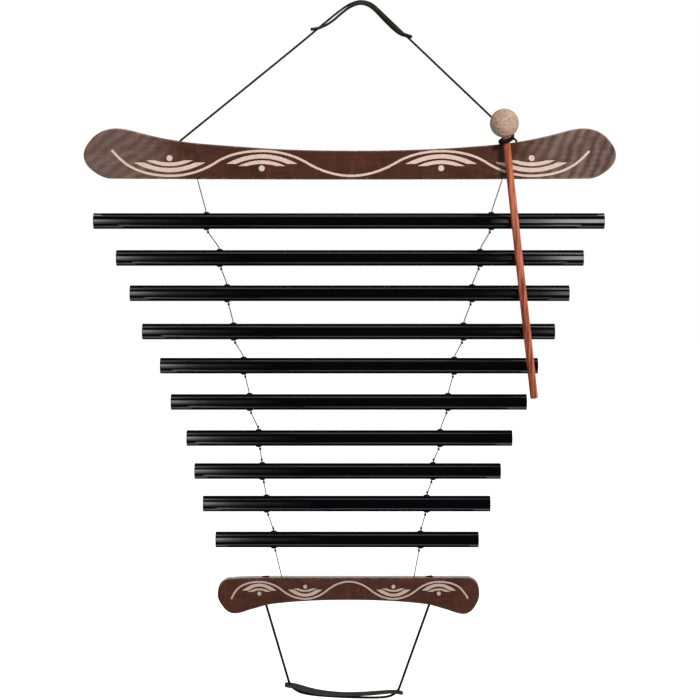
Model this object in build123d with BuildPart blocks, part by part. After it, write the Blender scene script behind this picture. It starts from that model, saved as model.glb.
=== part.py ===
from build123d import *
import math
import os

os.makedirs("parts", exist_ok=True)

# A hanging ladder of ten struck tubes, in millimetres. X runs to the player's right, Y away
# from the player and Z up. The origin is where the hook or finger bears, under the crown of
# the leather strip, and everything hangs in the plane Y = 0 except the mallet in front of it.

# The ladder: where its middle hangs, and the steps from bar to tube to tube to bar
chime_middle = -11.6
bar_drop = 177.3
thread_pitches = [42.0, 37.3, 35.7, 38.8, 34.6, 36.8, 36.6, 33.5, 33.1, 36.5, 37.9]

# Tubes, longest first. Each hangs at its still points, and each sits a little off the middle.
tube_diameter = 16.0
tube_wall = 1.5
tube_lengths = [516.0, 472.0, 444.0, 417.0, 382.0, 360.0, 329.5, 310.0, 291.0, 266.5]
tube_drifts = [-0.9, 0.1, -0.2, -1.3, -0.8, -1.0, -0.4, -2.2, -3.2, -2.7]
still_point_share = 0.221
tube_hole_diameter = 4.4

# Rubber grommets in the tubes' holes: a flange cut to the tube's curve, and a neck. The small
# round forms that repeat are kept to few sides.
flange_diameter = 6.2
flange_height = 1.5
flange_sides = 8
neck_sides = 6
neck_clearance = 0.1
neck_tail = 0.6
saddle_sides = 24
seat_gap = 0.05
grommet_bore = 1.8

# Threads and their knots
thread_diameter = 0.8
thread_sides = 6
thread_spread_top = 153.8
thread_spread_bottom = 67.4
thread_bend = 2.0
thread_bend_rise = 0.9
thread_hinge_drop = 0.8
thread_knot_width = 2.2
thread_knot_height = 2.8
knot_gap = 0.3
swing_gap = 0.25
doubled_knots = {-1: (7, 8, 10), 1: (8, 9, 10)}

# A pulled knot is a bead: shares of its half height, and the width there as a share
knot_profile_shares = [(-1.0, 0.62), (0.1, 1.0), (1.0, 0.62)]

# Bars: one thickness of hardwood. Each outline goes through a few places from its middle to its
# foot: shares of half the length and of the rise from waist to horn, with headings in degrees.
# Past the horn the heights are shares of the horn's own height.
bar_thickness = 18.0
bar_edge_break = 1.8
top_bar_length = 536.2
top_bar_waist = 28.6
top_bar_horn = 51.2
top_swell_shares = [
    (0.0, 0.0, 0),
    (0.56, 0.29, 5.5),
    (0.683, 0.509, 10.5),
    (0.797, 0.83, 15.5),
    (0.879, 1.0, 0),
]
top_end_shares = [(0.965, 0.82, -46), (1.0, 0.478, -90), (0.976, 0.2, -136), (0.9, 0.0, -180)]
bottom_bar_drift = -1.3
bottom_bar_length = 264.4
bottom_bar_waist = 21.2
bottom_bar_horn = 34.7
bottom_swell_shares = [(0.0, 0.0, 0), (0.585, 0.3, 7), (0.745, 0.7, 15), (0.869, 1.0, 0)]
bottom_end_shares = [(0.951, 0.85, -52), (1.0, 0.46, -90), (0.98, 0.14, -130), (0.91, 0.0, -180)]

# Holes, mouths and knot pockets in the bars
thread_hole = 1.6
thread_pocket = 5.0
top_thread_seat = 24.0
bottom_thread_seat = 16.0
cord_hole = 2.6
cord_pocket = 9.0
cord_pocket_depth = 7.0
pocket_sides = 8
overrun = 1.0
halvings = 40

# Cords and their knots
cord_diameter = 2.0
cord_sides = 8
arc_share = 0.45
cord_spread_top = 170.7
cord_holes_drift = -2.4
cord_spread_bottom = 82.2
bottom_holes_drift = -1.3
cord_hinge_rise = 1.2
cord_end_gap = 0.55
cord_knot_width = 7.6
cord_knot_height = 3.2

# Leather strips that a hand or hook bears on
strip_width = 9.5
strip_thickness = 1.5
strip_gap = 0.1
strip_corner = 2.5
slit_length = 9.6
slit_clearance = 0.25

# The hanging cord over the crown, in X and Z, and the strip's two ends beyond the crown
hanging_route = [(-44.3, -24.0), (-21.2, -6.6), (-10.9, 0.15), (0.0, 3.35), (10.9, 0.15)]
hanging_strip_left = [(-51.2, -25.3), (-44.4, -24.5), (-36.8, -21.2), (-28.7, -15.5)]
hanging_strip_right = [(19.0, -10.6), (27.5, -19.4), (36.6, -27.6), (42.8, -31.2), (51.3, -33.2)]
hanging_slits = [-43.5, 42.9]

# The handle cord in X and Z, and the strip's two ends beside the stretch that it lies on
handle_route = [
    (-72.2, -688.9),
    (-67.1, -694.6),
    (-58.0, -698.1),
    (-39.8, -700.0),
    (-19.5, -701.1),
    (0.7, -701.8),
    (18.9, -701.9),
    (29.6, -700.3),
    (36.4, -695.4),
]
handle_strip_left = [(-77.8, -689.5), (-70.5, -690.2), (-62.5, -692.4), (-52.0, -695.7)]
handle_strip_right = [(2.0, -698.9), (18.0, -697.6), (30.0, -696.6), (37.0, -696.9), (42.5, -698.4)]
handle_slits = [-70.7, 34.8]
handle_strip_from = 3
handle_strip_to = 5

# Mallet: a ball on a rod that leans in front of the ladder
ball_diameter = 29.0
ball_sides = 16
ball_seat_gap = 0.45
mallet_forward = 16.6
mallet_lean = 6.3
rod_diameter = 7.8
rod_reach = 278.6
rod_embed = 16.0
rod_end_break = 0.9
rod_fit = 0.05

# Elastic loop round the mallet's neck and the hanging cord's right leg
loop_diameter = 3.5
loop_sides = 12
loop_edge_share = 0.2929
loop_tilt = 22.0
loop_reach = 7.9
loop_tie = 4.0
loop_neck_clearance = 0.55
loop_leg_clearance = 1.3

# Worked out from the driving sizes
tube_radius = tube_diameter / 2
thread_radius = thread_diameter / 2
cord_radius = cord_diameter / 2
loop_radius = loop_diameter / 2
rod_radius = rod_diameter / 2
ball_radius = ball_diameter / 2
strip_offset = cord_radius + strip_gap + strip_thickness / 2
sides = (-1, 1)
full_turn = 360

top_bar_foot = -bar_drop
bottom_bar_top = top_bar_foot - sum(thread_pitches)
bottom_bar_middle = chime_middle + bottom_bar_drift
tube_count = len(tube_lengths)
tube_heights = [top_bar_foot - sum(thread_pitches[: i + 1]) for i in range(tube_count)]
grommet_reach = tube_radius + flange_height
knot_drop = grommet_reach + knot_gap + thread_knot_height / 2
hinge_heights = [top_bar_foot - thread_hinge_drop] + [z - knot_drop for z in tube_heights]

# The farthest point of a thread's knot from its centre, past which the next thread starts
knot_reach = max(
    math.hypot(share_z * thread_knot_height, share_w * thread_knot_width) / 2
    for share_z, share_w in knot_profile_shares
)


def plane_point(place):
    """A point of the plane in which the chime hangs, from its X and Z."""
    x, z = place
    return Vector(x, 0, z)


def hole_x(tube, side):
    """Where a tube's grommets stand, in X, on its left or right side."""
    half_spacing = (1 - 2 * still_point_share) * tube_lengths[tube] / 2
    return chime_middle + tube_drifts[tube] + side * half_spacing


def corner_radii(points):
    """The radius of each inner corner: a share of what its two runs allow."""
    radii = []
    for before, corner, after in zip(points, points[1:], points[2:]):
        half_turn = math.radians((corner - before).get_angle(after - corner)) / 2
        shorter = min((corner - before).length, (after - corner).length)
        radii.append(arc_share * shorter / math.tan(half_turn))
    return radii


def beside(points, distance):
    """The inner corners of a line that runs at a steady distance below a route to the right."""
    corners = []
    for before, corner, after in zip(points, points[1:], points[2:]):
        first = (corner - before).normalized()
        second = (after - corner).normalized()
        half_turn = math.radians(first.get_angle(second)) / 2
        down = (first + second).normalized().cross(Vector(0, -1, 0))
        corners.append(corner + down * (distance / math.cos(half_turn)))
    return corners


def tangent_arcs(places):
    """Pairs of arcs through places with headings, each pair meeting where its tangents agree."""
    arcs = []
    for (x0, y0, heading0), (x1, y1, heading1) in zip(places, places[1:]):
        start = Vector(x0, y0)
        end = Vector(x1, y1)
        way0 = Vector(math.cos(math.radians(heading0)), math.sin(math.radians(heading0)))
        way1 = Vector(math.cos(math.radians(heading1)), math.sin(math.radians(heading1)))
        reach = end - start
        both = reach.dot(way0 + way1)
        apart = 2 * (1 - way0.dot(way1))
        stretch = (math.sqrt(both**2 + apart * reach.dot(reach)) - both) / apart
        joint = (start + end + (way0 - way1) * stretch) / 2
        arcs.append(TangentArc(start, joint, tangent=way0))
        arcs.append(TangentArc(joint, end, tangent=arcs[-1] % 1))
    return arcs


def make_bar(middle, level, way, half, waist, horn, swell, end):
    """A bar: half an outline given thickness, its front and back edges broken, then mirrored."""
    places = [(x * half, way * (waist + y * (horn - waist)), way * turn) for x, y, turn in swell]
    places += [(x * half, way * y * horn, way * turn) for x, y, turn in end]
    with BuildPart() as bar:
        with BuildSketch(Plane(origin=(middle, 0, level), x_dir=(1, 0, 0), z_dir=(0, -1, 0))):
            with BuildLine():
                arcs = tangent_arcs(places)
                Polyline(places[-1][:2], (0, 0), (0, way * waist))
            make_face()
        extrude(amount=bar_thickness / 2, both=True)
        long_edges = bar.faces().filter_by(Axis.Y).edges().sort_by(Axis.X)[2:]
        chamfer(long_edges, bar_edge_break)
        mirror(about=Plane.YZ.offset(middle))
    return bar, arcs


def height_at(arcs, x):
    """How far a bar's curved edge stands from its flat edge, at a distance from its middle."""
    arc = next(arc for arc in arcs if (arc @ 1).X >= abs(x))
    low = 0.0
    high = 1.0
    for _ in range(halvings):
        middle = (low + high) / 2
        if (arc @ middle).X < abs(x):
            low = middle
        else:
            high = middle
    return abs((arc @ low).Y)


top_blank, top_arcs = make_bar(
    chime_middle,
    top_bar_foot,
    1,
    top_bar_length / 2,
    top_bar_waist,
    top_bar_horn,
    top_swell_shares,
    top_end_shares,
)
bottom_blank, bottom_arcs = make_bar(
    bottom_bar_middle,
    bottom_bar_top,
    -1,
    bottom_bar_length / 2,
    bottom_bar_waist,
    bottom_bar_horn,
    bottom_swell_shares,
    bottom_end_shares,
)

# Where the cords and threads enter the bars, in X, and the wood's surface at the cords
top_cord_x = [chime_middle + cord_holes_drift + side * cord_spread_top for side in sides]
top_thread_x = [chime_middle + side * thread_spread_top for side in sides]
bottom_holes_middle = bottom_bar_middle + bottom_holes_drift
bottom_cord_x = [bottom_holes_middle + side * cord_spread_bottom for side in sides]
bottom_thread_x = [bottom_holes_middle + side * thread_spread_bottom for side in sides]
top_surfaces = [top_bar_foot + height_at(top_arcs, x - chime_middle) for x in top_cord_x]
bottom_surfaces = [
    bottom_bar_top - height_at(bottom_arcs, x - bottom_bar_middle) for x in bottom_cord_x
]
hanger_hinge = sum(top_surfaces) / 2 + cord_hinge_rise
handle_hinge = sum(bottom_surfaces) / 2 - cord_hinge_rise

# Upper bar: holes for the cord with knot pockets below, and fine holes for the threads with
# knot pockets on top
with BuildPart() as top_bar:
    add(top_blank.part)
    with BuildSketch(Plane.XY.offset(top_bar_foot)):
        with Locations([(x, 0) for x in top_cord_x]):
            RegularPolygon(cord_pocket / 2, pocket_sides)
    extrude(amount=cord_pocket_depth, mode=Mode.SUBTRACT)
    with BuildSketch(Plane.XY.offset(top_bar_foot + top_thread_seat)):
        with Locations([(x, 0) for x in top_thread_x]):
            RegularPolygon(thread_pocket / 2, pocket_sides)
    extrude(amount=top_bar_horn - top_thread_seat, mode=Mode.SUBTRACT)
    with BuildSketch(Plane.XY.offset(top_bar_foot)):
        with Locations([(x, 0) for x in top_cord_x]):
            RegularPolygon(cord_hole / 2, pocket_sides)
        with Locations([(x, 0) for x in top_thread_x]):
            RegularPolygon(thread_hole / 2, neck_sides)
    extrude(amount=top_bar_horn, mode=Mode.SUBTRACT)
top_bar.part.label = "top_bar"
export_step(top_bar.part, "parts/top_bar.step")

# Lower bar: the cord's knots sit proud on its flat top, the threads' in pockets underneath
with BuildPart() as bottom_bar:
    add(bottom_blank.part)
    with BuildSketch(Plane.XY.offset(bottom_bar_top - bottom_thread_seat)):
        with Locations([(x, 0) for x in bottom_thread_x]):
            RegularPolygon(thread_pocket / 2, pocket_sides)
    extrude(amount=bottom_thread_seat - bottom_bar_horn, mode=Mode.SUBTRACT)
    with BuildSketch(Plane.XY.offset(bottom_bar_top)):
        with Locations([(x, 0) for x in bottom_cord_x]):
            RegularPolygon(cord_hole / 2, pocket_sides)
        with Locations([(x, 0) for x in bottom_thread_x]):
            RegularPolygon(thread_hole / 2, neck_sides)
    extrude(amount=-bottom_bar_horn, mode=Mode.SUBTRACT)
bottom_bar.part.label = "bottom_bar"
export_step(bottom_bar.part, "parts/bottom_bar.step")

# One grommet, on top of a tube that lies along X through the origin
with BuildPart() as grommet:
    with BuildSketch(Plane.XY):
        RegularPolygon(flange_diameter / 2, flange_sides)
    extrude(amount=grommet_reach)
    with BuildSketch(Plane.YZ):
        RegularPolygon(tube_radius + seat_gap, saddle_sides, major_radius=False)
    extrude(amount=flange_diameter, both=True, mode=Mode.SUBTRACT)
    with BuildSketch(Plane.XY.offset(tube_radius - tube_wall - neck_tail)):
        RegularPolygon(tube_hole_diameter / 2 - neck_clearance, neck_sides)
    extrude(amount=tube_wall + neck_tail + flange_height / 2)
    with BuildSketch(Plane.XY):
        RegularPolygon(grommet_bore / 2, neck_sides)
    extrude(amount=grommet_reach + overrun, mode=Mode.SUBTRACT)

# Tubes with a hole through both walls at each still point, and four grommets in each
for i in range(tube_count):
    length = tube_lengths[i]
    middle = chime_middle + tube_drifts[i]
    with BuildPart() as tube:
        end = (middle - length / 2, 0, tube_heights[i])
        with BuildSketch(Plane(origin=end, x_dir=(0, 1, 0), z_dir=(1, 0, 0))):
            Circle(tube_radius)
            Circle(tube_radius - tube_wall, mode=Mode.SUBTRACT)
        extrude(amount=length)
        with BuildSketch(Plane.XY.offset(tube_heights[i])):
            with Locations([(hole_x(i, side), 0) for side in sides]):
                RegularPolygon(tube_hole_diameter / 2, neck_sides)
        extrude(amount=tube_diameter, both=True, mode=Mode.SUBTRACT)
    tube.part.label = f"tube_{i + 1:02d}"
    export_step(tube.part, f"parts/tube_{i + 1:02d}.step")

    with BuildPart() as grommets:
        with Locations([(hole_x(i, side), 0, tube_heights[i]) for side in sides]):
            add(grommet.part)
            add(grommet.part, rotation=(180, 0, 0))
    grommets.part.label = f"grommets_{i + 1:02d}"
    export_step(grommets.part, f"parts/grommets_{i + 1:02d}.step")


def polygon_rings(middle, height, width, profile, polygon_sides):
    """The rings of a turned form: shares of half its height, and of its width there."""
    rings = []
    for share_z, share_w in profile:
        with BuildSketch(middle.offset(share_z * height / 2)) as ring:
            RegularPolygon(share_w * width / 2, polygon_sides)
        rings.append(ring.sketch)
    return rings


def make_thread(points, knot_heights):
    """A thread through some corners, with a barrel knot round it at each given height."""
    with BuildPart() as thread:
        with BuildLine():
            if len(points) > 2:
                FilletPolyline(*points, radius=thread_bend)
            else:
                Line(*points)
        with BuildSketch(Plane(origin=points[0], z_dir=points[1] - points[0])):
            RegularPolygon(thread_radius, thread_sides)
        sweep()
        for height in knot_heights:
            rings = polygon_rings(
                Plane((points[-1].X, 0, height)),
                thread_knot_height,
                thread_knot_width,
                knot_profile_shares,
                thread_sides,
            )
            loft(rings, ruled=True)
    return thread.part


# Each thread section hangs from the knot above it and carries the tube or bar below it
for i in range(tube_count + 1):
    threads = []
    for place, side in enumerate(sides):
        above_x = top_thread_x[place] if i == 0 else hole_x(i - 1, side)
        hinge = Vector(above_x, 0, hinge_heights[i])
        start_gap = swing_gap if i == 0 else knot_reach + swing_gap
        if i < tube_count:
            carried_top = tube_heights[i] + grommet_reach
            carried_foot = tube_heights[i] - grommet_reach
            x = hole_x(i, side)
        else:
            carried_top = bottom_bar_top
            carried_foot = bottom_bar_top - bottom_thread_seat
            x = bottom_thread_x[place]
        knot_heights = [carried_foot - knot_gap - thread_knot_height / 2]
        if i + 1 in doubled_knots[side]:
            knot_heights.append(carried_top + knot_gap + thread_knot_height / 2)
        corner = Vector(x, 0, carried_top + thread_bend_rise)
        foot = Vector(x, 0, knot_heights[0])
        start = hinge + (corner - hinge).normalized() * start_gap
        threads.append(make_thread([start, corner, foot], knot_heights))
    with BuildPart() as string:
        add(threads)
    string.part.label = f"string_{i + 1:02d}"
    export_step(string.part, f"parts/string_{i + 1:02d}.step")

# The threads' upper ends: from the knot in each pocket on top of the upper bar to its underside
upper_ends = []
for x in top_thread_x:
    knot_height = top_bar_foot + top_thread_seat + knot_gap + thread_knot_height / 2
    lowest = Vector(x, 0, hinge_heights[0] + swing_gap)
    upper_ends.append(make_thread([lowest, Vector(x, 0, knot_height)], [knot_height]))
with BuildPart() as thread_ends:
    add(upper_ends)
thread_ends.part.label = "thread_ends"
export_step(thread_ends.part, "parts/thread_ends.step")


def make_cord(points):
    """A round cord: straight runs joined by arcs as large as the runs allow."""
    with BuildPart() as cord:
        with BuildLine():
            path = FilletPolyline(*points, radius=corner_radii(points))
        with BuildSketch(Plane(origin=path @ 0, z_dir=path % 0)) as section:
            RegularPolygon(cord_radius, cord_sides)
        sweep()
    print("arc radii", [round(r, 1) for r in corner_radii(points)], "length", path.length)
    print("volume over section times length", cord.part.volume / (section.sketch.area * path.length))
    return cord


def make_strip(points, radii, slits):
    """A leather strip along its middle line, with round corners and a slit near each end."""
    with BuildPart() as strip:
        with BuildLine():
            path = FilletPolyline(*points, radius=radii)
        with BuildSketch(Plane(origin=path @ 0, x_dir=(0, 1, 0), z_dir=path % 0)):
            Rectangle(strip_width, strip_thickness)
        sweep()
        ends = [strip.faces().sort_by(Axis.X)[0], strip.faces().sort_by(Axis.X)[-1]]
        corners = [edge for end in ends for edge in end.edges().filter_by(Axis.Y, reverse=True)]
        chamfer(corners, strip_corner)
        lowest = strip.part.bounding_box().min.Z
        highest = strip.part.bounding_box().max.Z
        with BuildSketch(Plane.XY.offset(lowest)):
            with Locations([(x, 0) for x in slits]):
                Rectangle(slit_length, cord_diameter + 2 * slit_clearance)
        extrude(amount=highest - lowest, mode=Mode.SUBTRACT)
    return strip


def make_cord_knots(places, seat, hinge, way):
    """Stopper knots where a cord ends, each with the cord's end through the bar."""
    base = seat - way * knot_gap
    with BuildPart() as knots:
        for x in places:
            rings = polygon_rings(
                Plane((x, 0, base - way * cord_knot_height / 2)),
                cord_knot_height,
                cord_knot_width,
                knot_profile_shares,
                cord_sides,
            )
            loft(rings, ruled=True)
        with BuildSketch(Plane.XY.offset(base)):
            with Locations([(x, 0) for x in places]):
                RegularPolygon(cord_radius, cord_sides)
        extrude(amount=hinge - way * cord_end_gap - base)
    return knots


def mouth_to_mouth(places, mouths, hinge):
    """A cord's corners, its two ends just outside the mouths of its holes."""
    inner = [plane_point(place) for place in places]
    first = Vector(mouths[0], 0, hinge)
    last = Vector(mouths[1], 0, hinge)
    start = first + (inner[0] - first).normalized() * cord_end_gap
    end = last + (inner[-1] - last).normalized() * cord_end_gap
    return [start, *inner, end]


# Hanging cord, from one mouth of the upper bar over the crown to the other
hanging_points = mouth_to_mouth(hanging_route, top_cord_x, hanger_hinge)
hanging_cord = make_cord(hanging_points)
hanging_cord.part.label = "hanging_cord"
export_step(hanging_cord.part, "parts/hanging_cord.step")

# Its leather strip lies close under the crown, and the cord passes down through a slit at each end
strip_points = [
    *[plane_point(place) for place in hanging_strip_left],
    *beside(hanging_points[1:], strip_offset),
    *[plane_point(place) for place in hanging_strip_right],
]
strip_radii = corner_radii(strip_points)
for step, radius in enumerate(corner_radii(hanging_points)[1:], len(hanging_strip_left) - 1):
    strip_radii[step] = min(radius - strip_offset, strip_radii[step])
hanging_strip = make_strip(strip_points, strip_radii, hanging_slits)
hanging_strip.part.label = "hanging_strip"
export_step(hanging_strip.part, "parts/hanging_strip.step")

# The hanging cord's ends, knotted in the pockets under the upper bar
hanging_knots = make_cord_knots(top_cord_x, top_bar_foot + cord_pocket_depth, hanger_hinge, 1)
hanging_knots.part.label = "hanging_cord_knots"
export_step(hanging_knots.part, "parts/hanging_cord_knots.step")

# Handle cord under the lower bar, with its strip on top of it
handle_points = mouth_to_mouth(handle_route, bottom_cord_x, handle_hinge)
handle_cord = make_cord(handle_points)
handle_cord.part.label = "handle_cord"
export_step(handle_cord.part, "parts/handle_cord.step")

strip_points = [
    *[plane_point(place) for place in handle_strip_left],
    *beside(handle_points, -strip_offset)[handle_strip_from:handle_strip_to],
    *[plane_point(place) for place in handle_strip_right],
]
handle_strip = make_strip(strip_points, corner_radii(strip_points), handle_slits)
handle_strip.part.label = "handle_strip"
export_step(handle_strip.part, "parts/handle_strip.step")

# The handle cord's ends, knotted on top of the lower bar
handle_knots = make_cord_knots(bottom_cord_x, bottom_bar_top, handle_hinge, -1)
handle_knots.part.label = "handle_cord_knots"
export_step(handle_knots.part, "parts/handle_cord_knots.step")

# The mallet's loop: a belt round the cord's leg and the mallet's neck, in a tilted plane
leg_foot = hanging_points[-1]
leg_up = (hanging_points[-2] - leg_foot).normalized()
tie = leg_foot + leg_up * loop_tie
tilt = math.radians(loop_tilt)
along_loop = Vector(math.cos(tilt), 0, math.sin(tilt))
loop_plane = Plane(origin=tie, x_dir=along_loop, z_dir=Vector(-math.sin(tilt), 0, math.cos(tilt)))
neck_ring = rod_radius + loop_radius + loop_neck_clearance
leg_ring = cord_radius + loop_radius + loop_leg_clearance
neck = tie - along_loop * loop_reach - Vector(0, mallet_forward, 0)
with BuildPart() as mallet_loop:
    with BuildSketch(loop_plane):
        RegularPolygon(leg_ring, loop_sides, major_radius=False)
        with Locations([(-loop_reach, -mallet_forward)]):
            RegularPolygon(neck_ring, loop_sides, major_radius=False)
        make_hull()
        offset(amount=loop_radius, kind=Kind.INTERSECTION)
        inside = offset(amount=-loop_diameter, kind=Kind.INTERSECTION, mode=Mode.PRIVATE)
        add(inside, mode=Mode.SUBTRACT)
    extrude(amount=loop_radius, both=True)
    belt_faces = mallet_loop.faces().filter_by(Axis(tie, loop_plane.z_dir))
    chamfer(belt_faces.edges(), loop_edge_share * loop_diameter)
mallet_loop.part.label = "mallet_loop"
export_step(mallet_loop.part, "parts/mallet_loop.step")

# The ball rests on the loop, its centre up the rod's axis from the neck. It is what prisms
# turned round the rod have in common, so that its faces are flat.
lean = math.radians(mallet_lean)
rod_up = Vector(-math.sin(lean), 0, math.cos(lean))
climb = along_loop.dot(rod_up)
contact = ball_radius + loop_radius + ball_seat_gap
ball_rise = neck_ring * climb + math.sqrt(contact**2 - neck_ring**2 * (1 - climb**2))
ball_centre = neck + rod_up * ball_rise
rod_plane = Plane(origin=ball_centre, x_dir=(0, 1, 0), z_dir=rod_up)
with BuildPart() as mallet_ball:
    for turn in range(ball_sides // 2):
        across = rod_plane.x_dir.rotate(Axis((0, 0, 0), rod_up), turn * full_turn / ball_sides)
        with BuildSketch(Plane(origin=ball_centre, x_dir=rod_up, z_dir=across)):
            RegularPolygon(ball_radius, ball_sides, major_radius=False)
        extrude(amount=ball_diameter, both=True, mode=Mode.INTERSECT if turn else Mode.ADD)
    with BuildSketch(rod_plane.offset(rod_embed - ball_radius + rod_fit)):
        RegularPolygon(rod_radius + rod_fit, ball_sides, major_radius=False)
    extrude(amount=-(rod_embed + ball_radius), mode=Mode.SUBTRACT)
mallet_ball.part.label = "mallet_ball"
export_step(mallet_ball.part, "parts/mallet_ball.step")

with BuildPart() as mallet_handle:
    with BuildSketch(rod_plane.offset(rod_embed - ball_radius)):
        Circle(rod_radius)
    extrude(amount=-(rod_embed - ball_radius + rod_reach))
    chamfer(mallet_handle.faces().sort_by(Axis.Z)[0].edges(), rod_end_break)
mallet_handle.part.label = "mallet_handle"
export_step(mallet_handle.part, "parts/mallet_handle.step")

print("top cord x", top_cord_x, "surfaces", top_surfaces, "hinge", hanger_hinge)
print("bottom cord x", bottom_cord_x, "surfaces", bottom_surfaces, "hinge", handle_hinge)
print("thread hinges", [round(z, 3) for z in hinge_heights])
print("tie", tie, "neck", neck, "ball", ball_centre, "rod up", rod_up)
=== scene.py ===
# %% [markdown]
# # A hanging chime of ten black tubes
# The real object is a ladder: ten tubes of falling length hang on two knotted threads between
# two shaped wooden bars. A padded cord carries it, a second one under it is the handle, and a
# mallet hangs in an elastic loop. The CAD frame gives every place and every joint. This lesson
# gives each piece its true surface and finish, one step at a time. Lengths are in millimetres
# and become metres only where Blender takes them.

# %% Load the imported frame
import math

import bmesh
import bpy
import numpy as np
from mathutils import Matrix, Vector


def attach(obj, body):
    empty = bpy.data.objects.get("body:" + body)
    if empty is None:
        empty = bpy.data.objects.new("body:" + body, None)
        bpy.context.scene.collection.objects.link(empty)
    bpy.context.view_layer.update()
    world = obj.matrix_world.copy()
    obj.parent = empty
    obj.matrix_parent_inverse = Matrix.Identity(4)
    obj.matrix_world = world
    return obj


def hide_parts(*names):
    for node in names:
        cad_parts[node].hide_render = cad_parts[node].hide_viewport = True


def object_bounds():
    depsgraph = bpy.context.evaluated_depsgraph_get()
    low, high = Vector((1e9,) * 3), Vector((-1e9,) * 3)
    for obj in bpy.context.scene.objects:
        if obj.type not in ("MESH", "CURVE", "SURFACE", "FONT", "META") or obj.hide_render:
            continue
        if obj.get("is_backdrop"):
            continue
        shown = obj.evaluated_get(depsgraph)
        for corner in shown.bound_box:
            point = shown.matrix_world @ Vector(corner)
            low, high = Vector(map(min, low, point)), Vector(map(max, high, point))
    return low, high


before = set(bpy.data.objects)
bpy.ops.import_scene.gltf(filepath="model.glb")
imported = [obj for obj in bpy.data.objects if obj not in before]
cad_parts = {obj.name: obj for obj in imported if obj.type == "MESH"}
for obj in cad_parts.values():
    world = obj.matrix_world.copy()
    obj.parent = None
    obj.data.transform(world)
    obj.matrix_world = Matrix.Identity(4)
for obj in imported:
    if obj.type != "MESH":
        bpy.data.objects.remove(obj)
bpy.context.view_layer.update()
mm = 0.001

# %% [markdown]
# ## The camera
# The photograph shows the whole ladder from in front, about two metres away, with the camera
# level with the upper tubes: the lower bar shows its top, and the upper bar shows no underside.
# So the camera stands a little high and looks slightly down. Its place, tilt and lens were
# fitted to the ends of the tubes and to the bars.

# %% Camera
scene = bpy.context.scene
camera_x, camera_distance, camera_height = -11.4, 2075.0, -240.0
camera_tilt = 1.27
camera_data = bpy.data.cameras.new("front_camera")
camera_data.sensor_width = 36
camera_data.lens = 105.48
camera_data.shift_y = -0.09
camera = bpy.data.objects.new("front_camera", camera_data)
camera.location = (camera_x * mm, -camera_distance * mm, camera_height * mm)
camera.rotation_euler = (math.radians(90 - camera_tilt), 0, 0)
scene.collection.objects.link(camera)
scene.camera = camera
print("lens", round(camera_data.lens, 1), "camera distance", camera_distance)

# %% [markdown]
# ## Helpers for surfaces
# Every new piece is a grid of points worked out as whole arrays. One helper turns such grids
# into a mesh, and closes the seams and poles by merging points that fall together.

# %% Surface helpers
rightward, frontward, backward, upward = (1, 0, 0), (0, -1, 0), (0, 1, 0), (0, 0, 1)
merge_within = 0.001


def surface(name, grids, round_u=False, round_v=False, wear_and_glow=None, smooth_below=40):
    """A mesh over one or more grids of points, each [u, v, xyz] in millimetres.

    Quads join each point to the next in u and v. round_u joins the last row to the first, and round_v does
    that for the columns. The number per point given for a finish to read is the edge wear on the bars and
    the glow strength on the cards.
    """
    points, faces, start = [], [], 0
    for grid in grids:
        rows, columns = grid.shape[:2]
        index = np.arange(start, start + rows * columns).reshape(rows, columns)
        start += rows * columns
        if round_u:
            index = np.concatenate([index, index[:1]])
        if round_v:
            index = np.concatenate([index, index[:, :1]], axis=1)
        corners = [index[:-1, :-1], index[1:, :-1], index[1:, 1:], index[:-1, 1:]]
        faces.append(np.stack(corners, axis=-1).reshape(-1, 4))
        points.append(grid.reshape(-1, 3) * mm)
    mesh = bpy.data.meshes.new(name)
    mesh.from_pydata(np.concatenate(points).tolist(), [], np.concatenate(faces).tolist())
    if wear_and_glow is not None:
        mesh.attributes.new("wear_and_glow", "FLOAT", "POINT").data.foreach_set("value", np.ravel(wear_and_glow))
    shape = bmesh.new()
    shape.from_mesh(mesh)
    bmesh.ops.remove_doubles(shape, verts=shape.verts, dist=merge_within * mm)
    bmesh.ops.recalc_face_normals(shape, faces=shape.faces)
    shape.to_mesh(mesh)
    shape.free()
    mesh.shade_smooth()
    mesh.set_sharp_from_angle(angle=math.radians(smooth_below))
    piece = bpy.data.objects.new(name, mesh)
    scene.collection.objects.link(piece)
    return piece


def turned(profile, sides, foot, axis, across):
    """A turned grid: foot + r(v)·(cos u·across + sin u·third) + h(v)·axis, with r and h in profile."""
    profile = np.asarray(profile, float)
    angle = np.linspace(0, 2 * math.pi, sides, endpoint=False)[:, None, None]
    axis, across = np.asarray(axis, float), np.asarray(across, float)
    third = np.cross(axis, across)
    ring = np.cos(angle) * across + np.sin(angle) * third
    return np.asarray(foot, float) + profile[None, :, :1] * ring + profile[None, :, 1:] * axis


def solid_profile(low, high, low_radius, high_radius=None):
    """The profile of a round solid: out from the axis, up its wall, and back to the axis."""
    high_radius = low_radius if high_radius is None else high_radius
    return [(0, low), (low_radius, low), (high_radius, high), (0, high)]


def through(places, steps):
    """A curve through places (x, z, heading): on each stretch of chord d, the cubic
    (2t³-3t²+1)·P0 + (t³-2t²+t)·d·T0 + (3t²-2t³)·P1 + (t³-t²)·d·T1, T being unit headings."""
    t = np.linspace(0, 1, steps, endpoint=False)[:, None]
    stretches = []
    for (x0, z0, turn0), (x1, z1, turn1) in zip(places, places[1:]):
        p0, p1 = np.array([x0, z0]), np.array([x1, z1])
        chord = np.linalg.norm(p1 - p0)
        t0 = chord * np.array([math.cos(math.radians(turn0)), math.sin(math.radians(turn0))])
        t1 = chord * np.array([math.cos(math.radians(turn1)), math.sin(math.radians(turn1))])
        start = (2 * t**3 - 3 * t**2 + 1) * p0 + (t**3 - 2 * t**2 + t) * t0
        stretches.append(start + (3 * t**2 - 2 * t**3) * p1 + (t**3 - t**2) * t1)
    return np.concatenate([*stretches, [places[-1][:2]]])


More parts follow.
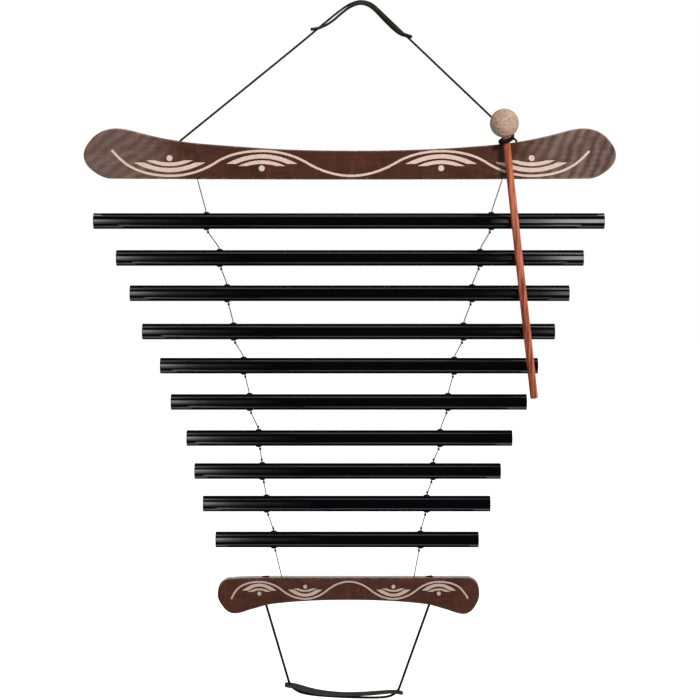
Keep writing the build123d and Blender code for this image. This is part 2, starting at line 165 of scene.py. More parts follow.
def carried(section, path, side, lift):
    """A section carried along a path: path(u) + s(v)·side(u) + h(v)·lift(u), s and h in section."""
    section = np.asarray(section, float)
    return path[:, None] + section[None, :, :1] * side[:, None] + section[None, :, 1:] * lift[:, None]


def round_section(diameter, sides):
    """The points of a circle, as a section to carry along a path."""
    angle = np.linspace(0, 2 * math.pi, sides, endpoint=False)
    return diameter / 2 * np.stack([np.cos(angle), np.sin(angle)], -1)


def unit(vectors):
    """Vectors brought to length one."""
    return vectors / np.linalg.norm(vectors, axis=-1, keepdims=True)


def distance_along(line):
    """How far along a line each of its points lies."""
    return np.concatenate([[0], np.cumsum(np.linalg.norm(np.diff(line, axis=0), axis=1))])


def wide(points):
    """Points of the plane in which the chime hangs, from x and z."""
    points = np.asarray(points, float)
    return np.stack([points[:, 0], np.zeros(len(points)), points[:, 1]], axis=-1)


print("helpers ready")

# %% [markdown]
# ## The cords
# Both cords are round, waxed and black, a little over two millimetres thick. A cord is a smooth NURBS line
# through a few given corners, and its round section comes from the curve's bevel. Where the photograph shows
# a long straight run, one more point on it keeps it straight.
# A curve's bound box grows by its points' radius, so that is kept tiny and the bevel is divided
# by it.

# %% Cord routes and cords
point_radius = 0.001


def cord_line(name, route, diameter):
    """A curve of one open NURBS spline whose control points are the route's points."""
    curve = bpy.data.curves.new(name, "CURVE")
    curve.dimensions = "3D"
    curve.bevel_depth = diameter / 2 * mm / point_radius
    curve.bevel_resolution = 3
    curve.use_fill_caps = True
    curve.resolution_u = 16
    spline = curve.splines.new("NURBS")
    spline.points.add(len(route) - 1)
    points = np.concatenate([np.asarray(route, float) * mm, np.ones((len(route), 1))], axis=1)
    spline.points.foreach_set("co", points.ravel())
    spline.points.foreach_set("radius", np.full(len(route), point_radius))
    spline.order_u = 3
    spline.use_endpoint_u = True
    piece = bpy.data.objects.new(name, curve)
    scene.collection.objects.link(piece)
    return piece


hanger_diameter, handle_diameter = 2.2, 2.55
hanger_route = wide([
    (-183.0, -138.3), (-64.9, -42.9), (-43.2, -24.6), (-21.2, -6.6), (-10.9, 0.15), (0.0, 3.35),
    (10.9, 0.15), (19.1, -7.7), (156.8, -138.3),
])
hanger_cord = cord_line("hanger_cord", hanger_route, hanger_diameter)
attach(hanger_cord, "hanger")
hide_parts("hanging_cord")

handle_route = wide([
    (-96.8, -607.9), (-75.1, -681.6), (-72.8, -689.3), (-67.3, -695.6), (-58.0, -699.4),
    (-39.8, -701.6), (-19.5, -702.7), (0.7, -703.4), (18.9, -703.5), (30.6, -701.9), (37.8, -696.4),
    (40.5, -688.1), (69.2, -607.9),
])
handle_cord = cord_line("handle_cord_round", handle_route, handle_diameter)
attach(handle_cord, "handle")
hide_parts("handle_cord")
print("cord corners", len(hanger_route), len(handle_route))

# %% [markdown]
# ## The threads
# Each thread runs taut from the knot above, straight to the mouth of a grommet, turns there and
# drops through the tube to its own knot below it. Each stretch between two knots is a cord of
# its own, because it moves with its own tube. The holes are at a tube's still points, the two
# places that don't move when it rings.

# %% Places of the tubes and threads
# pitches run from the upper bar's foot to the lower bar's top. Each tube hangs off the middle by
# its drift, as the real ones do.
chime_middle = -11.6
top_foot = -177.3
pitches = [42.0, 37.3, 35.7, 38.8, 34.6, 36.8, 36.6, 33.5, 33.1, 36.5, 37.9]
tube_lengths = [516.0, 472.0, 444.0, 417.0, 382.0, 360.0, 329.5, 310.0, 291.0, 266.5]
tube_drifts = [-0.9, 0.1, -0.2, -1.3, -0.8, -1.0, -0.4, -2.2, -3.2, -2.7]
tube_radius, tube_wall = 8.0, 1.5
still_point_share = 0.221
flange_height = 1.5
flange_reach = tube_radius + flange_height
heights = top_foot - np.cumsum(pitches)
bottom_top = heights[-1]
bottom_middle = chime_middle - 1.3
top_seat, bottom_seat = 24.0, 16.0

# A thread leaves its knot a little below it, bends just above the flange, and has gone straight
# by mouth_depth under it. On the tubes in doubled_knots a second knot sits on the flange.
thread_diameter = 1.0
knot_width, knot_height = 2.5, 3.0
knot_drop = 0.3 + knot_height / 2
knot_lean, corner_lean = 1.5, 0.6
out_of_bar, out_of_knot = 0.25, 1.6
corner_rise, corner_run, mouth_depth = 1.1, 4.8, 3.6
doubled_knots = {-1: (7, 8, 10), 1: (8, 9, 10)}
doubled_rise = 0.8
first_hinge = top_foot - 0.8
hinge_heights = [first_hinge, *(heights[:10] - flange_reach - knot_drop)]
top_thread_reach, bottom_thread_reach = {-1: 153.8, 1: 153.8}, {-1: 67.5, 1: 66.1}


def hole_x(tube, side):
    """Where a tube's holes are, in x: at its still points, on the left (-1) or the right (1)."""
    half_spacing = (1 - 2 * still_point_share) * tube_lengths[tube] / 2
    return chime_middle + tube_drifts[tube] + side * half_spacing


top_thread_x = {side: chime_middle + side * reach for side, reach in top_thread_reach.items()}
bottom_thread_x = {side: bottom_middle + side * reach for side, reach in bottom_thread_reach.items()}
thread_knots = {stretch: [] for stretch in range(11)}
bodies = [f"hung_tube_{i + 1:02d}" for i in range(10)] + ["lower_bar"]
threads = []
for stretch in range(11):
    for side in (-1, 1):
        start_x = top_thread_x[side] if stretch == 0 else hole_x(stretch - 1, side)
        end_x = hole_x(stretch, side) if stretch < 10 else bottom_thread_x[side]
        carried_top = heights[stretch] + (flange_reach if stretch < 10 else 0)
        carried_foot = heights[stretch] - (flange_reach if stretch < 10 else bottom_seat)
        lean = -side * (0.0 if stretch == 0 else knot_lean)
        hinge = np.array([start_x + lean, 0, hinge_heights[stretch]])
        corner = np.array([end_x + side * corner_lean, 0, carried_top + corner_rise])
        knot = np.array([end_x - side * knot_lean, 0, carried_foot - knot_drop])
        down = unit(corner - hinge)
        start = hinge + down * (out_of_bar if stretch == 0 else out_of_knot)
        inside = np.array([end_x, 0, carried_top - mouth_depth])
        route = [start, corner - down * corner_run, corner, inside, knot]
        name = f"thread_{'left' if side < 0 else 'right'}_{stretch + 1:02d}"
        thread = cord_line(name, route, thread_diameter)
        thread.data.bevel_resolution = 2
        thread.data.resolution_u = 6
        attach(thread, bodies[stretch])
        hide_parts(f"string_{stretch + 1:02d}")
        threads.append(thread)
        thread_knots[stretch].append(knot)
        if stretch + 1 in doubled_knots[side]:
            thread_knots[stretch].append(corner + [0, 0, doubled_rise])
print("threads", len(threads), "knots", sum(len(k) for k in thread_knots.values()))

# %% [markdown]
# ## Knots
# A pulled overhand knot is a three-lobed curve, the trefoil, squeezed into a bead. The tube that
# follows it gives three small lobes that catch the light as the real knot does. Short upright
# stubs carry the cords' and threads' ends through the bars to their knots.

# %% Knots
def knot_grid(centre, width, height, diameter, turn=0.0, steps=60, sides=8):
    """A tube round K(t) = (sin t + 2 sin 2t, cos t - 2 cos 2t, -sin 3t), scaled to the knot's size."""
    t = np.linspace(0, 2 * math.pi, steps, endpoint=False) + turn
    line = np.stack([np.sin(t) + 2 * np.sin(2 * t), np.cos(t) - 2 * np.cos(2 * t), -np.sin(3 * t)], -1)
    line = line * [(width - diameter) / 6, (width - diameter) / 6, (height - diameter) / 2]
    along = unit(np.roll(line, -1, axis=0) - np.roll(line, 1, axis=0))
    side = unit(np.cross(along, line + [0, 0, 0.3]))
    lift = np.cross(along, side)
    return np.asarray(centre) + carried(round_section(diameter, sides), line, side, lift)


def upright(x, low, high, diameter):
    """A straight upright piece of cord with closed ends, as a turned grid."""
    return turned(solid_profile(low, high, diameter / 2), 10, (x, 0, 0), upward, rightward)


small_knots = []
for stretch, places in thread_knots.items():
    grids = [
        knot_grid(place, knot_width, knot_height, thread_diameter, turn=0.7 * stretch + n, steps=36, sides=6)
        for n, place in enumerate(places)
    ]
    knots = surface(f"thread_knots_{stretch + 1:02d}", grids, round_u=True, round_v=True)
    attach(knots, bodies[stretch])
    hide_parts(f"string_{stretch + 1:02d}")
    small_knots.append(knots)

top_knot_level, top_stub_foot = top_foot + top_seat + knot_drop, top_foot - 0.55
grids = [upright(x, top_stub_foot, top_knot_level, thread_diameter) for x in top_thread_x.values()]
knots = [
    knot_grid((x, 0, top_knot_level), knot_width, knot_height, thread_diameter)
    for x in top_thread_x.values()
]
thread_tops = surface("thread_tops", grids, round_u=True)
thread_top_knots = surface("thread_top_knots", knots, round_u=True, round_v=True)
for piece in (thread_tops, thread_top_knots):
    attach(piece, "upper_bar")
    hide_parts("thread_ends")
    small_knots.append(piece)

# The knots above are hidden in pockets, and the handle's are pulled half into the lower bar.
top_cord_x, bottom_cord_x = [-182.8, 156.7], [-97.0, 69.4]
cord_knot_width = 7.8
upper_knot_height, lower_knot_heights = 3.2, (2.3, 3.0)
upper_knot_level, lower_knot_level = top_foot + 5.0, bottom_top - 0.3
upper_strand, lower_strand = 1.9, 1.6
upper_stub_foot, lower_stub_top = top_foot + 3.5, bottom_top - 0.4
bar_waist_top, handle_mouth = -138.0, -606.8
grids = [upright(x, upper_stub_foot, bar_waist_top, hanger_diameter) for x in top_cord_x]
knots = [
    knot_grid((x, 0, upper_knot_level), cord_knot_width, upper_knot_height, upper_strand)
    for x in top_cord_x
]
upper_ends = surface("cord_ends_upper", grids, round_u=True)
upper_knots = surface("cord_knots_upper", knots, round_u=True, round_v=True)
for piece in (upper_ends, upper_knots):
    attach(piece, "upper_bar")
    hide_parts("hanging_cord_knots")
grids = [upright(x, handle_mouth, lower_stub_top, handle_diameter) for x in bottom_cord_x]
knots = [
    knot_grid((x, 0, lower_knot_level), cord_knot_width, tall, lower_strand, turn=n)
    for n, (x, tall) in enumerate(zip(bottom_cord_x, lower_knot_heights))
]
lower_ends = surface("cord_ends_lower", grids, round_u=True)
lower_knots = surface("cord_knots_lower", knots, round_u=True, round_v=True)
for piece in (lower_ends, lower_knots):
    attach(piece, "lower_bar")
    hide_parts("handle_cord_knots")
print("pieces with small knots", len(small_knots), "cord knots", 4)

# %% [markdown]
# ## The wooden bars
# Each bar is sawn to a swelling outline from one thickness of hardwood, and its long edges are
# rounded by hand. The surface is one function: from the bar's spine out across the face, round
# the front edge by a quarter circle, over the side, round the back edge and back to the spine.
# A number per point, the edge wear, is highest on the rounded edges, where the real finish has rubbed
# through.

# %% Bars
bar_thickness = 18.0
edge_radius = 2.3
overrun, past_bar = 2.0, 60.0
cord_hole, thread_hole = 1.3, 0.8
cord_pocket, thread_pocket, cord_pocket_depth = 4.5, 2.5, 7.0


def bar_rim(half, waist, horn, swell, end, steps=26):
    """Half an outline from places given as shares, mirrored, with the spine point of each rim point."""
    places = [(x * half, waist + y * (horn - waist), turn) for x, y, turn in swell]
    swelling = through(places, steps)
    tip = through([places[-1]] + [(x * half, y * horn, turn) for x, y, turn in end], steps)[1:]
    foot = np.stack([swelling[::-1, 0], np.zeros(len(swelling))], -1)
    rim = np.concatenate([swelling, tip, foot])
    spine_top = swelling * [1, 0.5]
    spine_tip = np.repeat(spine_top[-1:], len(tip), axis=0)
    spine = np.concatenate([spine_top, spine_tip, spine_top[::-1]])
    left_rim, left_spine = rim[::-1][1:-1] * [-1, 1], spine[::-1][1:-1] * [-1, 1]
    return np.concatenate([rim, left_rim]), np.concatenate([spine, left_spine])


def hand_shaped(rim, bumps):
    """Adds the small unevenness of handwork: z + sum of h·exp(-((x - c)/w)²) for each (c, w, h, part).

    part is 1 for the horned side alone and 0 for the flat side alone.
    """
    rise = np.clip((rim[:, 1] / rim[:, 1].max() - 0.15) / 0.7, 0, 1)
    upper = rise**2 * (3 - 2 * rise)
    share = {0: 1 - upper, 1: upper}
    lift = sum(h * share[part] * np.exp(-(((rim[:, 0] - c) / w) ** 2)) for c, w, h, part in bumps)
    return np.stack([rim[:, 0], rim[:, 1] + lift], -1)


def bar_surface(name, rim, spine, middle, level, way):
    """P(u, v): spine + s·(inner rim - spine) on the faces, inner rim + r·sin a·n on the edges."""
    rim, spine = rim * [1, way], spine * [1, way]
    along = np.roll(rim, -1, axis=0) - np.roll(rim, 1, axis=0)
    outward = unit(np.stack([along[:, 1], -along[:, 0]], -1))
    outward *= np.sign(np.sum(outward * (rim - spine)))
    inner = rim - edge_radius * outward
    share = np.linspace(0, 1, 9)[:-1]
    bend = np.linspace(0, math.pi / 2, 7)
    face = spine[:, None] + share[:, None] * (inner - spine)[:, None]
    edge = inner[:, None] + edge_radius * np.sin(bend)[:, None] * outward[:, None]
    flat = np.concatenate([face, edge, edge[:, ::-1], face[:, ::-1]], axis=1)
    face_depth = np.full(len(share), -bar_thickness / 2)
    edge_depth = -bar_thickness / 2 + edge_radius * (1 - np.cos(bend))
    depth = np.concatenate([face_depth, edge_depth, -edge_depth[::-1], -face_depth])
    depths = np.broadcast_to(depth, flat.shape[:2])
    grid = np.stack([middle + flat[:, :, 0], depths, level + flat[:, :, 1]], -1)
    worn_face = 0.5 * share**12
    worn_edge = 0.5 + 0.5 * np.sin(2 * bend)
    worn = np.concatenate([worn_face, worn_edge, worn_edge[::-1], worn_face[::-1]])
    return surface(name, [grid], round_u=True, wear_and_glow=np.broadcast_to(worn, flat.shape[:2]))


def cutter_grid(x, profile):
    """An upright round cutter at x, from its profile."""
    return turned(profile, 24, (x, 0, 0), upward, rightward)


def drill(piece, cutters):
    """Cuts holes with an exact Boolean and keeps the result as the piece's own mesh."""
    cutter = surface("cutter", cutters, round_u=True)
    cut = piece.modifiers.new("holes", "BOOLEAN")
    cut.operation = "DIFFERENCE"
    cut.solver = "EXACT"
    cut.object = cutter
    bpy.context.view_layer.update()
    found = piece.evaluated_get(bpy.context.evaluated_depsgraph_get())
    drilled = bpy.data.meshes.new_from_object(found)
    piece.modifiers.clear()
    piece.data = drilled
    piece.data.set_sharp_from_angle(angle=math.radians(40))
    bpy.data.objects.remove(cutter)


# The upper bar's ends lift a little off the straight foot, most at the tips.
top_half, top_waist, top_horn = 268.1, 28.6, 51.2
top_swell = [(0.0, 0.0, 0), (0.56, 0.29, 5.5), (0.683, 0.509, 10.5), (0.797, 0.83, 15.5), (0.879, 1.0, 0)]
top_end = [(0.965, 0.82, -46), (1.0, 0.478, -90), (0.976, 0.2, -136), (0.9, 0.0, -180)]
tip_lift, lift_fades_at = 1.1, 24.0
rim, spine = bar_rim(top_half, top_waist, top_horn, top_swell, top_end)
near_foot = np.clip(1 - rim[:, 1] / lift_fades_at, 0, 1)
rim[:, 1] += tip_lift * (rim[:, 0] / top_half) ** 2 * near_foot**2 * (3 - 2 * near_foot)
rim = hand_shaped(rim, [(-118, 55, 1.2, 1), (-10, 40, 0.3, 1)])
upper_wood = bar_surface("upper_bar_wood", rim, spine, chime_middle, top_foot, 1)
low, high = top_foot - overrun, top_foot + past_bar
cutters = []
for x in top_cord_x:
    cutters.append(cutter_grid(x, solid_profile(low, high, cord_hole)))
    cutters.append(cutter_grid(x, solid_profile(low, top_foot + cord_pocket_depth, cord_pocket)))
for x in top_thread_x.values():
    cutters.append(cutter_grid(x, solid_profile(low, high, thread_hole)))
    cutters.append(cutter_grid(x, solid_profile(top_foot + top_seat, high, thread_pocket)))
drill(upper_wood, cutters)
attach(upper_wood, "upper_bar")
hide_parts("top_bar")

# The lower bar is the same kind of outline upside down. The handle cord's knots sit in shallow
# cones on its top, and the cord leaves through a wide mouth that lets it swing.
bottom_half, bottom_waist, bottom_horn = 132.4, 22.6, 36.3
bottom_swell = [(0.0, 0.0, 0), (0.585, 0.3, 7), (0.745, 0.7, 15), (0.869, 1.0, 0)]
bottom_end = [(0.951, 0.85, -52), (1.0, 0.46, -90), (0.98, 0.14, -130), (0.91, 0.0, -180)]
rim, spine = bar_rim(bottom_half, bottom_waist, bottom_horn, bottom_swell, bottom_end)
rim = hand_shaped(rim, [(-132, 22, 1.6, 0), (126, 12, 1.2, 1)])
lower_wood = bar_surface("lower_bar_wood", rim, spine, bottom_middle, bottom_top, -1)
low, high = bottom_top - past_bar, bottom_top + overrun
mouth_foot, mouth_wide, mouth_narrow = -613.0, 7.4, 2.2
mouth = solid_profile(mouth_foot, handle_mouth, mouth_wide, mouth_narrow)
seat_depth, seat_over, seat_narrow, seat_wide = 2.2, 0.6, 2.4, 4.8
seat = solid_profile(bottom_top - seat_depth, bottom_top + seat_over, seat_narrow, seat_wide)
cutters = []
for x in bottom_cord_x:
    cutters += [cutter_grid(x, part) for part in (solid_profile(low, high, cord_hole), mouth, seat)]
for x in bottom_thread_x.values():
    cutters.append(cutter_grid(x, solid_profile(low, high, thread_hole)))
    cutters.append(cutter_grid(x, solid_profile(low, bottom_top - bottom_seat, thread_pocket)))
drill(lower_wood, cutters)
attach(lower_wood, "lower_bar")
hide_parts("bottom_bar")
print("bar faces", len(upper_wood.data.polygons), len(lower_wood.data.polygons))

# %% [markdown]
# ## The ornament
# A pale wave runs along each bar's front, with a pair of crescents and a dot in each of its
# hollows: a common border pattern. The middle of each bar is left bare. Each line is a thin
# ribbon that stands a twentieth of a millimetre proud, so it looks printed.

# %% Ornament
inlay_back, inlay_front = bar_thickness / 2 - 0.1, bar_thickness / 2 + 0.05
inlay_depths = [-inlay_back, -inlay_back, -inlay_front, -inlay_front]


def ribbon(line, width, middle, level):
    """A flat ribbon along a line on a bar's front: line(u) ± half width, narrowing at round ends."""
    along = unit(np.gradient(line, axis=0))
    side = np.stack([-along[:, 1], along[:, 0]], -1)
    run = distance_along(line)
    to_end = np.minimum(run, run[-1] - run) / (width / 2)
    narrow = np.sqrt(1 - np.clip(1 - to_end, 0, 1) ** 2)
    edges = line[:, None] + np.array([-1, 1, 1, -1])[:, None] * (side * narrow[:, None] * width / 2)[:, None]
    depth = np.broadcast_to(inlay_depths, edges.shape[:2])
    return np.stack([middle + edges[:, :, 0], depth, level + edges[:, :, 1]], -1)


def crescent(x, cut, way, outer, inner, middle, level):
    """A crescent between two arcs cut off level: x = c·u, z = cut + way·s·(1 - u²), c and s of each arc."""
    u = np.linspace(-1, 1, 41)[:, None]
    chord = np.array([outer[0], inner[0], inner[0], outer[0]])
    rise = np.array([outer[1], inner[1], inner[1], outer[1]])
    depth = np.broadcast_to(inlay_depths, (len(u), 4))
    return np.stack([middle + x + u * chord, depth, level + cut + way * rise * (1 - u**2)], -1)


def dot(x, z, radius, middle, level):
    """A round dot on a bar's front."""
    profile = solid_profile(inlay_back, inlay_front, radius)
    return turned(profile, 32, (middle + x, 0, level + z), frontward, rightward)


def ornament(wave, width, hollows, cuts, large, small, small_step, dot_step, dot_radius, middle, level):
    """One bar's lines and dots: the wave, and in each hollow two crescents and a dot.

    hollows are (x, way), way being 1 for an arch and -1 for a bowl. cuts give the level at which
    the large crescent is cut off for each way. large and small are their outer and inner arcs.
    """
    lines, dots = [ribbon(through(wave, 24), width, middle, level)], []
    for x, way in hollows:
        cut = cuts[way]
        lines.append(crescent(x, cut, way, *large, middle, level))
        lines.append(crescent(x, cut - way * small_step, way, *small, middle, level))
        dots.append(dot(x, cut - way * dot_step, dot_radius, middle, level))
    return lines, dots


upper_lines, upper_dots = ornament([
    (-239.8, 29.6, -50), (-227.9, 17.6, -40), (-180.3, 3.4, 0), (-134.5, 17.0, 33), (-88.8, 28.4, 0),
    (-43.0, 16.4, -31), (1.4, 3.4, 0), (46.0, 16.4, 31), (92.0, 28.2, 0), (137.5, 16.8, -33),
    (182.6, 3.4, 0), (230.0, 17.6, 40), (241.2, 28.6, 50),
], 2.3, [(-181.4, -1), (-88.6, 1), (92.0, 1), (183.0, -1)], {-1: 16.8, 1: 15.4},
    [(36.0, 9.7), (25.7, 5.5)], [(23.8, 5.8), (14.9, 2.1)], 2.2, 4.4, 3.0, chime_middle, top_foot)
lower_lines, lower_dots = ornament([
    (-118.5, -21.5, 72), (-113.5, -12.5, 52), (-90.2, -3.8, 0), (-67.0, -12.4, -40), (-43.6, -21.1, 0),
    (-21.5, -12.3, 40), (0.4, -3.6, 0), (22.5, -12.3, -40), (45.6, -21.1, 0), (68.5, -12.4, 40),
    (91.3, -3.7, 0), (115.0, -12.3, -52), (120.7, -21.1, -72),
], 1.7, [(-90.2, 1), (-43.8, -1), (45.4, -1), (91.3, 1)], {-1: -11.7, 1: -12.7},
    [(17.3, 7.1), (11.0, 4.2)], [(11.4, 3.4), (6.6, 1.6)], 1.2, 3.0, 2.0, bottom_middle, bottom_top)
inlays = []
for name, grids, ring, body in (
    ("upper_inlay_lines", upper_lines, False, "upper_bar"),
    ("upper_inlay_dots", upper_dots, True, "upper_bar"),
    ("lower_inlay_lines", lower_lines, False, "lower_bar"),
    ("lower_inlay_dots", lower_dots, True, "lower_bar"),
):
    inlay = surface(name, grids, round_u=ring, round_v=not ring)
    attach(inlay, body)
    inlays.append(inlay)
print("inlay pieces", len(inlays))

# %% [markdown]
# ## Tubes
# The tubes are aluminium, black and polished. Their walls are thin, so each end shows a ring
# with a fine break on its edges.

# %% Tubes
edge_break = 0.3


def tube_profile(length):
    """The tube's wall as a closed profile of radius and distance along the tube."""
    half, out, inside = length / 2, tube_radius, tube_radius - tube_wall
    bend = np.linspace(0, math.pi / 2, 4)
    rising, closing = edge_break * (1 - np.sin(bend)), edge_break * (1 - np.cos(bend))
    rim = np.stack([out - rising, -half + closing], -1)
    lip = np.stack([inside + closing, half - rising], -1)
    return np.concatenate([rim, rim[::-1] * [1, -1], lip[::-1], lip * [1, -1]])


tubes = []
for i in range(10):
    middle = (chime_middle + tube_drifts[i], 0, heights[i])
    grid = turned(tube_profile(tube_lengths[i]), 96, middle, rightward, backward)
    tube = surface(f"polished_tube_{i + 1:02d}", [grid], round_u=True, round_v=True)
    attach(tube, bodies[i])
    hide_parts(f"tube_{i + 1:02d}")
    tubes.append(tube)
print("tubes", len(tubes))

# %% [markdown]
# ## Grommets
# A soft grommet lines each hole, above and below. Its flange is a low cone whose foot follows
# the round of the tube, and its neck goes down through the wall.

# %% Grommets
def grommet_grid(x, level, way):
    """A turned ring whose foot follows the tube: z = sqrt(R² - y²) + h, h from the flange's profile."""
    profile = [
        (0.9, 1.1), (1.1, 1.35), (1.5, 1.3), (2.1, 0.9), (2.7, 0.6), (3.05, 0.4), (3.1, 0.25), (3.1, 0.05),
        (2.1, 0.05), (2.1, -2.1), (0.9, -2.1),
    ]
    grid = turned(profile, 28, (0, 0, 0), upward, rightward)
    sag = np.sqrt(tube_radius**2 - grid[:, :, 1] ** 2)
    follow = np.clip(1.2 - 0.5 * grid[:, :, 2], 0.4, 1)
    lifted = grid[:, :, 2] + tube_radius + (sag - tube_radius) * follow
    return np.stack([x + grid[:, :, 0], grid[:, :, 1] * way, level + way * lifted], -1)


grommets = []
for i in range(10):
    grids = [grommet_grid(hole_x(i, side), heights[i], way) for side in (-1, 1) for way in (-1, 1)]
    ring = surface(f"soft_grommets_{i + 1:02d}", grids, round_u=True, round_v=True, smooth_below=60)
    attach(ring, bodies[i])
    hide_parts(f"grommets_{i + 1:02d}")
    grommets.append(ring)
print("grommets", 4 * len(grommets))

# %% [markdown]
# ## Leather strips
# A strip of dark leather pads each cord where a hook or a hand bears on it. It is a flat section
# with soft edges carried along a smooth line, and it rolls a little about the cord on its way.

# %% Leather strips
strip_width, strip_thickness, strip_corner = 9.5, 2.0, 2.5


def smooth_line(points, steps):
    """The quadratic spline of a route: between mid-points M0 and M1 round a corner P it is
    (1-t)²·M0 + 2t(1-t)·P + t²·M1."""
    points = np.asarray(points, float)
    middles = np.concatenate([points[:1], (points[1:-2] + points[2:-1]) / 2, points[-1:]])
    t = np.linspace(0, 1, steps, endpoint=False)[:, None]
    bends = (1 - t) ** 2 * middles[:-1, None] + 2 * t * (1 - t) * points[1:-1, None]
    bends = bends + t**2 * middles[1:, None]
    return np.concatenate([bends.reshape(-1, points.shape[1]), points[-1:]])


def leather(name, route, roll):
    """A strip: a rounded flat section carried along a line, rolled about it, with rounded ends.

    roll is pairs of a share of the length and an angle in degrees. The section is a squared
    oval: cos and sin are raised to powers under one, so that its sides stay nearly flat.
    """
    line = wide(smooth_line(route, 24))
    along = unit(np.gradient(line, axis=0))
    flat = np.broadcast_to([0.0, 1.0, 0.0], line.shape)
    up = np.cross(along, flat)
    run = distance_along(line)
    angle = np.radians(np.interp(run / run[-1], *zip(*roll)))[:, None]
    side = np.cos(angle) * flat + np.sin(angle) * up
    lift = np.cos(angle) * up - np.sin(angle) * flat
    to_end = np.minimum(run, run[-1] - run)
    cut = np.clip(1 - to_end / strip_corner, 0, 1)
    half = strip_width / 2 - strip_corner * (1 - np.sqrt(1 - cut**2))
    turn = np.linspace(0, 2 * math.pi, 28, endpoint=False)
    across = np.sign(np.cos(turn)) * np.abs(np.cos(turn)) ** 0.45
    rise = np.sign(np.sin(turn)) * np.abs(np.sin(turn)) ** 0.55 * strip_thickness / 2
    grid = line[:, None] + (half[:, None] * across)[:, :, None] * side[:, None]
    grid = grid + rise[:, None] * lift[:, None]
    first = np.broadcast_to(line[:1, None], grid[:1].shape)
    last = np.broadcast_to(line[-1:, None], grid[:1].shape)
    return surface(name, [np.concatenate([first, grid, last])], round_v=True, smooth_below=70)


hanger_leather = leather("hanger_leather", [
    (-51.2, -26.0), (-44.4, -25.4), (-36.6, -22.4), (-28.2, -17.1), (-19.9, -9.6), (-10.2, -2.2),
    (0.0, 1.1), (10.1, -2.4), (19.0, -11.2), (27.5, -19.9), (36.6, -28.1), (42.8, -31.7), (51.3, -33.6),
], [(0, -6), (0.12, -1), (0.3, -1), (0.5, -8), (0.7, -15), (0.86, -18), (1, -8)])
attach(hanger_leather, "hanger")
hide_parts("hanging_strip")
handle_leather = leather("handle_leather", [
    (-77.8, -690.2), (-70.5, -690.9), (-62.5, -693.1), (-52.0, -696.2), (-39.9, -698.7), (-19.6, -700.0),
    (2.0, -699.7), (18.0, -698.4), (30.0, -697.3), (37.0, -697.6), (42.5, -699.0),
], [(0, 14), (0.1, 22), (0.3, 20), (0.5, 8), (0.75, 9), (0.92, 5), (1, 8)])
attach(handle_leather, "handle")
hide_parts("handle_strip")
print("leather faces", len(hanger_leather.data.polygons), len(handle_leather.data.polygons))

# %% [markdown]
# ## The mallet
# A ball of ground cork and rubber is glued on a turned hardwood rod that leans to the right in
# front of the ladder. The ball has a socket for the rod, and the rod thins towards it.

# %% Mallet
# Heights along the rod are counted from the ball's centre.
ball_centre = np.array([143.25, -16.6, -121.4])
ball_radius = 14.5
rod_lean = math.radians(6.3)
rod_up = np.array([-math.sin(rod_lean), 0.0, math.cos(rod_lean)])
rod_across = np.array([math.cos(rod_lean), 0.0, math.sin(rod_lean)])
rod_foot = -278.0
socket_radius, mouth_radius = 4.0, 4.1
socket = [(socket_radius, 1.5), (socket_radius, -13.4)]
angle = np.linspace(-math.acos(mouth_radius / ball_radius), math.pi / 2, 49)
profile = np.concatenate([socket, ball_radius * np.stack([np.cos(angle), np.sin(angle)], -1)])
profile[-1, 0] = 0
ball = surface("mallet_ball_cork", [turned(profile, 72, ball_centre, rod_up, backward)], round_u=True)
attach(ball, "mallet")
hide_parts("mallet_ball")

taper = [
    (0, rod_foot), (2.6, rod_foot), (3.4, rod_foot + 0.3), (3.8, rod_foot + 1.0), (3.9, rod_foot + 2.2),
    (3.9, -200), (3.85, -100), (3.7, -30), (3.65, -16), (3.65, 1.4), (0, 1.4),
]
rod = surface("mallet_rod", [turned(taper, 48, ball_centre, rod_up, backward)], round_u=True)
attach(rod, "mallet")
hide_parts("mallet_handle")
print("ball faces", len(ball.data.polygons), "rod faces", len(rod.data.polygons))

# %% [markdown]
# ## The elastic loop
# A doubled black band goes round the mallet's neck and round the cord's right leg, and the ball
# rests on it. It tilts up to the right and droops to the front, so its two strands are seen
# from below at the neck.

# %% Elastic loop
tie = np.array([150.5, 0.0, -132.24])
loop_tilt, loop_droop = math.radians(22.0), math.radians(13.0)
loop_along = np.array([math.cos(loop_tilt), 0, math.sin(loop_tilt)])
loop_deep = np.array([0, math.cos(loop_droop), math.sin(loop_droop)])
loop_lift = unit(np.cross(loop_along, loop_deep))
loop_reach, mallet_forward = 5.9, 17.04
neck_ring, leg_ring = 7.0, 3.0
strand_diameter, strand_offset = 2.3, 1.05


def belt_line(steps=96):
    """A belt round two circles: arcs of radius R about the neck and r about the leg, with the two
    straight runs that touch both, as x and y in the loop's plane."""
    neck = np.array([-loop_reach, -mallet_forward])
    facing = math.atan2(neck[1], neck[0])
    open_angle = math.acos((neck_ring - leg_ring) / np.linalg.norm(neck))
    around_neck = facing + np.linspace(-(math.pi - open_angle), math.pi - open_angle, steps)
    around_leg = facing + math.pi + np.linspace(-open_angle, open_angle, steps // 2)
    neck_arc = neck + neck_ring * np.stack([np.cos(around_neck), np.sin(around_neck)], -1)
    leg_arc = leg_ring * np.stack([np.cos(around_leg), np.sin(around_leg)], -1)
    return np.concatenate([neck_arc, leg_arc])


flat = belt_line()
line = tie + flat[:, :1] * loop_along + flat[:, 1:] * loop_deep
along = unit(np.roll(line, -1, axis=0) - np.roll(line, 1, axis=0))
lift = np.broadcast_to(loop_lift, line.shape)
side = np.cross(along, lift)
section = round_section(strand_diameter, 14)
strands = [carried(section, line + way * strand_offset * lift, side, lift) for way in (-1, 1)]
loop = surface("elastic_loop", strands, round_u=True, round_v=True)
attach(loop, "tie_loop")
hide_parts("mallet_loop")
print("loop faces", len(loop.data.polygons))

